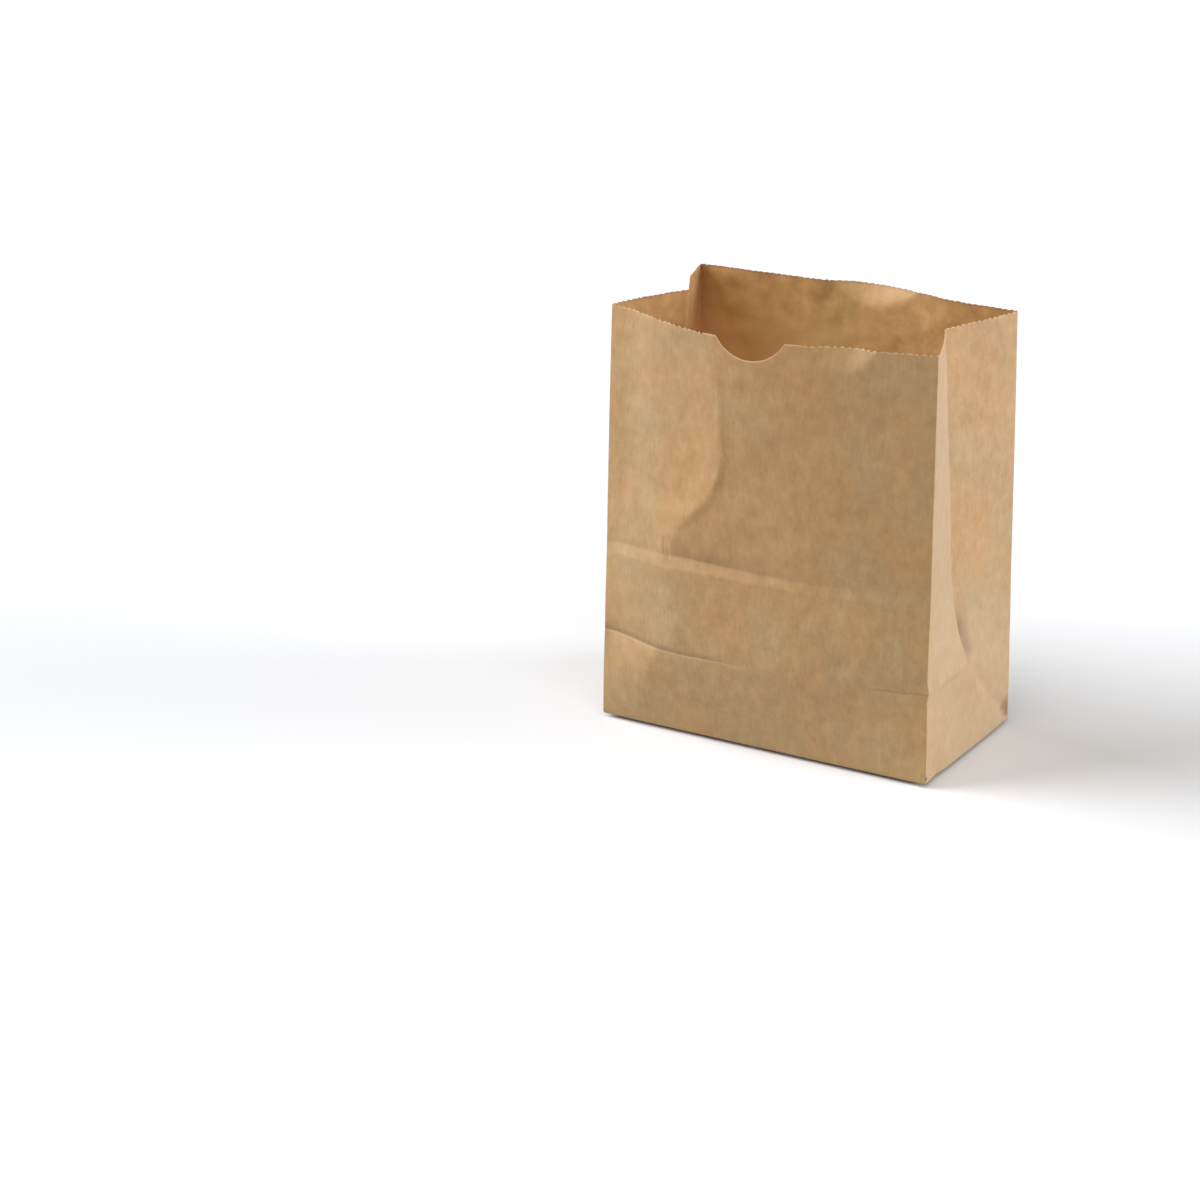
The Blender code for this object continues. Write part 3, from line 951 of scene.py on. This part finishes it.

# Painted light and shade of the outer paper, over folds and dents that are geometry, each with its colour,
# its strength and the windows that it lies in. A window is in the way round the bag, in the height, in how
# far above the front's crease or the edges of its pressed band a place is, or in how far behind the right
# side's fold it is.
RIGHT_FOLD = FRONT_WIDTH + SIDE_WIDTH / 2
RIGHT_END = FRONT_WIDTH + SIDE_WIDTH
MARKS = (
    # Painted light: the right side is painted paler low down, and its front half has a painted sheen.
    (PALE_PINK_PAINTED_LIGHT, 0.30, (("around", (FRONT_WIDTH, RIGHT_END, 0.0005, 0.0005)), ("height", (0.110, 0.020)))),
    (PALE_PINK_PAINTED_LIGHT, 0.24, (
        ("around", (FRONT_WIDTH + 0.0010, RIGHT_FOLD - 0.0005, 0.0010, 0.0005)), ("height", (0.030, 0.075)),
    )),
    # Painted highlight on the pressed band.
    (PALE_PAINTED_HIGHLIGHT, 0.13, (
        ("above_band_low", (-0.0005, 0.0006)), ("above_band_high", (0.0003, -0.0004)),
        ("around", (0.175, 0.085)),
    )),
    # Painted highlight on the lower side of the crease.
    (PALE_PAINTED_HIGHLIGHT, 0.30, (("above_crease", (-0.0009, 0.0, 0.0010, 0.0004)), ("around", (0.100, 0.084)))),
    # Painted highlight on the pale side of the kink over the band.
    (PALE_PAINTED_HIGHLIGHT, 0.30, (
        ("around", (0.0493, 0.0504, 0.0004, 0.0004)), ("height", (0.1110, 0.1205, 0.001, 0.002)),
    )),
    # The shade over the band.
    (DARK_PAINTED_SHADE, 0.18, (
        ("above_band_high", (0.0002, 0.0010, 0.0003, 0.0110)), ("around", (0.051, 0.085, 0.002, 0.075)),
    )),
    # Painted shade in the crease itself at the left, and at its short end at the right.
    (DARK_PAINTED_SHADE, 0.34, (("above_crease", (0.0003, 0.0018, 0.0005, 0.0025)), ("around", (0.090, 0.074)))),
    (DARK_PAINTED_SHADE, 0.34, (
        ("above_crease", (-0.0001, 0.0005, 0.0005, 0.0007)), ("around", (0.186, FRONT_WIDTH, 0.016, 0.0005)),
    )),
    # Painted shade on the dark side of the kink.
    (DARK_PAINTED_SHADE, 0.40, (
        ("around", (0.0449, 0.0457, 0.0004, 0.0004)), ("height", (0.1155, 0.1240, 0.002, 0.001)),
    )),
    # Painted shade at the end of the right gusset, and in the crumpled corner.
    (BROWN_PAINTED_SHADE, 0.62, (
        ("behind_fold", (0.0006, 0.0034, 0.0006, 0.0080)), ("height", (0.064, 0.078, 0.007, 0.012)),
    )),
    (BROWN_PAINTED_SHADE, 0.80, (
        ("around", (RIGHT_END - 0.0022, RIGHT_END - 0.0008, 0.0040, 0.0008)),
        ("height", (0.0045, 0.0080, 0.0020, 0.0110)),
    )),
)
# The pinhole is a dark spot of painted shade; the paper has no hole there.
PINHOLE_PLACE = (FRONT_WIDTH + 0.0007, 0.0040, 0.0)
PINHOLE_REACH = 0.0016
PINHOLE_STRENGTH = 0.95

# The cut, with paler fibres and a painted highlight: its width below the rim, the fibres' share in it, and
# how much of it the outer and inner face show.
CUT_WIDTH = (0.0010, 0.0004)
CUT_FIBRES = (0.35, 0.65, 0.55, 1.0)
CUT_STRENGTH = 0.80
CUT_LESS_INSIDE = 0.8
# The painted shade under the inner face's rim: the distances below the rim between which it fades, and its
# strength at each.
INNER_RIM_PAINTED_SHADE = (0.0005, 0.0016, 0.5, 0.0)

ROUGHNESS = (0.66, 0.54)
FIXED_INPUTS = (
    ("Specular IOR Level", 0.65), ("Subsurface Weight", 0.40), ("Subsurface Radius", (1.0, 0.52, 0.24)),
    ("Subsurface Scale", 0.0004), ("Sheen Weight", 0.12), ("Sheen Roughness", 0.45),
)
RELIEF_PATCHES, RELIEF_GRAIN, RELIEF_FIBRES = 1.4, 0.35, 0.16
RELIEF_DEPTH = 0.00012


def outer_paper(n, place, tone):
    hue = n.within(n.noise(place, *HUES), HUE_RANGE)
    hue = n.math("ADD", hue, n.spot(place, ORANGE_PLACE, ORANGE_REACH), clamp=True)
    dark = n.mix(hue, DARK_BROWN, DARK_ORANGE)
    light = n.mix(hue, LIGHT_BROWN, LIGHT_ORANGE)
    colour = n.mix(n.within(tone, TONE_RANGE), dark, light)
    flecks = n.within(n.noise(place, *FLECKS), FLECK_RANGE)
    return n.mix(n.times(flecks, FLECK_STRENGTH), colour, FLECK)


def inner_paper(n, place, around, height):
    colour = n.mix(n.within(n.noise(place, *BLOTCHES), BLOTCH_RANGE), INNER_DARK, INNER_LIGHT)
    # Painted light: behind the notch and in the back left corner the inner paper is painted lighter.
    deep = n.times(n.within(height, PAINTED_LIGHT_HEIGHT), n.within(around, PAINTED_LIGHT_AROUND))
    return n.mix(n.times(deep, PAINTED_LIGHT_STRENGTH), colour, INNER_PAINTED_LIGHT)


# Lays the painted light and shade of MARKS, and the pinhole's painted shade, over the colour.
def with_marks(n, colour, place, around, height, outside):
    stray = n.math("MULTIPLY_ADD", n.noise(place, *STRAY), STRAY_WIDTH, -STRAY_WIDTH / 2)
    lines = [n.math("ADD", line, stray) for line in n.parts(n.attribute("folds").outputs["Vector"])]
    places = dict(zip(("above_crease", "above_band_low", "above_band_high"), lines))
    places.update(around=around, height=height, behind_fold=n.math("SUBTRACT", around, RIGHT_FOLD))
    for other, strength, windows in MARKS:
        mask = n.times(*(n.within(places[name], window) for name, window in windows))
        colour = n.mix(n.times(mask, outside, strength), colour, other)
    pinhole = n.spot(place, PINHOLE_PLACE, PINHOLE_REACH)
    return n.mix(n.times(pinhole, outside, PINHOLE_STRENGTH), colour, PINHOLE_PAINTED_SHADE)


def with_cut(n, colour, fibres, inside):
    below_rim = n.attribute("below_rim").outputs["Fac"]
    # The cut's paler fibres, with a painted highlight along the rim.
    cut = n.times(n.within(below_rim, CUT_WIDTH), n.remap(fibres, *CUT_FIBRES))
    cut = n.times(cut, n.math("SUBTRACT", 1.0, n.times(inside, CUT_LESS_INSIDE)))
    colour = n.mix(n.times(cut, CUT_STRENGTH), colour, CUT_FIBRE_AND_HIGHLIGHT)
    # Painted shade: a dark line under the rim of the inner face.
    return n.mix(n.times(n.remap(below_rim, *INNER_RIM_PAINTED_SHADE), inside), colour, BROWN_PAINTED_SHADE)


def kraft_paper():
    """Unbleached brown kraft: cloudy, with long fibres and darker flecks, a paler cut edge with a painted
    highlight, and painted light and shade at its folds, dents and inside.
    """
    material = bpy.data.materials.new("brown_kraft_paper")
    n = Nodes(material)
    shader = n.tree.nodes["Principled BSDF"]
    place = n.attribute("paper").outputs["Vector"]
    around, height, inside = n.parts(place)
    outside = n.math("SUBTRACT", 1.0, inside)

    patterns = {pattern: n.noise(place, *pattern) for pattern, _ in TONE_GAINS}
    tone = 0.5
    for pattern, gain in TONE_GAINS:
        tone = n.add_spread(patterns[pattern], gain, tone)
    inner = inner_paper(n, place, around, height)
    colour = n.mix(n.times(inside, INNER_STRENGTH), outer_paper(n, place, tone), inner)
    colour = with_marks(n, colour, place, around, height, outside)
    n.put(shader, "Base Color", with_cut(n, colour, patterns[FIBRES], inside))
    n.put(shader, "Roughness", n.remap(tone, 0.0, 1.0, *ROUGHNESS))
    for name, value in FIXED_INPUTS:
        shader.inputs[name].default_value = value

    grain = n.times(n.noise(place, *GRAIN), RELIEF_GRAIN)
    relief = n.add_spread(patterns[PATCHES], RELIEF_PATCHES, grain)
    relief = n.math("MULTIPLY_ADD", patterns[FIBRES], RELIEF_FIBRES, relief)
    bump_node = n.make("ShaderNodeBump", Height=relief, Strength=1.0, Distance=RELIEF_DEPTH)
    n.put(shader, "Normal", bump_node.outputs["Normal"])
    return material


# The floor: what it throws back on the bag, what is seen of it, and its size.
FLOOR_GREY = (0.44, 0.44, 0.44, 1.0)
FLOOR_WHITE = (0.790, 0.785, 0.778, 1.0)
FLOOR_ROUGHNESS = 0.9
FLOOR_REACH = 8.0


def floor_material():
    """White to the camera, and a duller grey in what it throws back on the bag."""
    material = bpy.data.materials.new("pale_floor")
    n = Nodes(material)
    shader = n.tree.nodes["Principled BSDF"]
    path = n.make("ShaderNodeLightPath")
    seen = n.math("MAXIMUM", path.outputs["Is Camera Ray"], path.outputs["Is Glossy Ray"])
    n.put(shader, "Base Color", n.mix(seen, FLOOR_GREY, FLOOR_WHITE))
    shader.inputs["Roughness"].default_value = FLOOR_ROUGHNESS
    shader.inputs["Specular IOR Level"].default_value = 0.0
    return material


def build_floor():
    mesh = bpy.data.meshes.new("floor")
    corners = [(x * FLOOR_REACH, y * FLOOR_REACH, 0) for x, y in ((-1, -1), (1, -1), (1, 1), (-1, 1))]
    mesh.from_pydata(corners, [], [(0, 1, 2, 3)])
    floor = bpy.data.objects.new("floor", mesh)
    bpy.context.scene.collection.objects.link(floor)
    mesh.materials.append(floor_material())


# The camera, as it was fitted to the photograph.
LENS = 100.96
SENSOR_WIDTH = 36.0
CAMERA_PLACE = (0.81909, -1.61446, 0.74984)
CAMERA_DOWN = 20.501
CAMERA_TURN = 30.666

# Lamps: azimuth, elevation, strength, softness and colour. Azimuth 0 comes from the front, 90 from the right.
LAMPS = (
    ("left_lamp", -66, 33, 1.26, 50, (0.97, 1.0, 1.06)),
    ("right_lamp", 112, 9, 1.04, 34, (0.98, 1.0, 1.03)),
    ("top_lamp", 34, 58, 0.52, 60, (1.0, 1.0, 1.0)),
)
SKY = 0.76


def build_camera():
    data = bpy.data.cameras.new("camera")
    data.lens = LENS
    data.sensor_width = SENSOR_WIDTH
    camera = bpy.data.objects.new("camera", data)
    camera.location = CAMERA_PLACE
    camera.rotation_euler = Euler((math.radians(90 - CAMERA_DOWN), 0, math.radians(CAMERA_TURN)))
    bpy.context.scene.collection.objects.link(camera)
    bpy.context.scene.camera = camera


def lamp(name, azimuth, elevation, strength, softness, colour):
    """Light from far off."""
    data = bpy.data.lights.new(name, "SUN")
    data.energy = strength * math.pi
    data.angle = math.radians(softness)
    data.color = colour
    light = bpy.data.objects.new(name, data)
    light.rotation_euler = Euler((math.radians(90 - elevation), 0, math.radians(azimuth)))
    bpy.context.scene.collection.objects.link(light)


def build_light():
    for values in LAMPS:
        lamp(*values)
    world = bpy.data.worlds.new("studio")
    bpy.context.scene.world = world
    n = Nodes(world)
    back = n.tree.nodes["Background"]
    path = n.make("ShaderNodeLightPath")
    seen = n.math("MAXIMUM", path.outputs["Is Camera Ray"], path.outputs["Is Transmission Ray"])
    seen = n.math("MAXIMUM", seen, path.outputs["Is Glossy Ray"])
    n.put(back, "Strength", n.remap(seen, 0.0, 1.0, SKY, 1.0))


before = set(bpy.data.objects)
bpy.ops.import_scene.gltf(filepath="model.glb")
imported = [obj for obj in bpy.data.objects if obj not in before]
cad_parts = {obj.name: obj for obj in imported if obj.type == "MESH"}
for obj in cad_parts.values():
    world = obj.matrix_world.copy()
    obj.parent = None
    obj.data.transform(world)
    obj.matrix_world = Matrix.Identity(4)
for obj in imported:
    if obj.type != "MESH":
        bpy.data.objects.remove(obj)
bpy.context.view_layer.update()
bpy.context.scene.view_settings.view_transform = "Standard"
build_camera()
build_light()
build_floor()
bag = build_bag()
bag.data.materials.append(kraft_paper())
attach(bag, "root")
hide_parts("paper_bag")
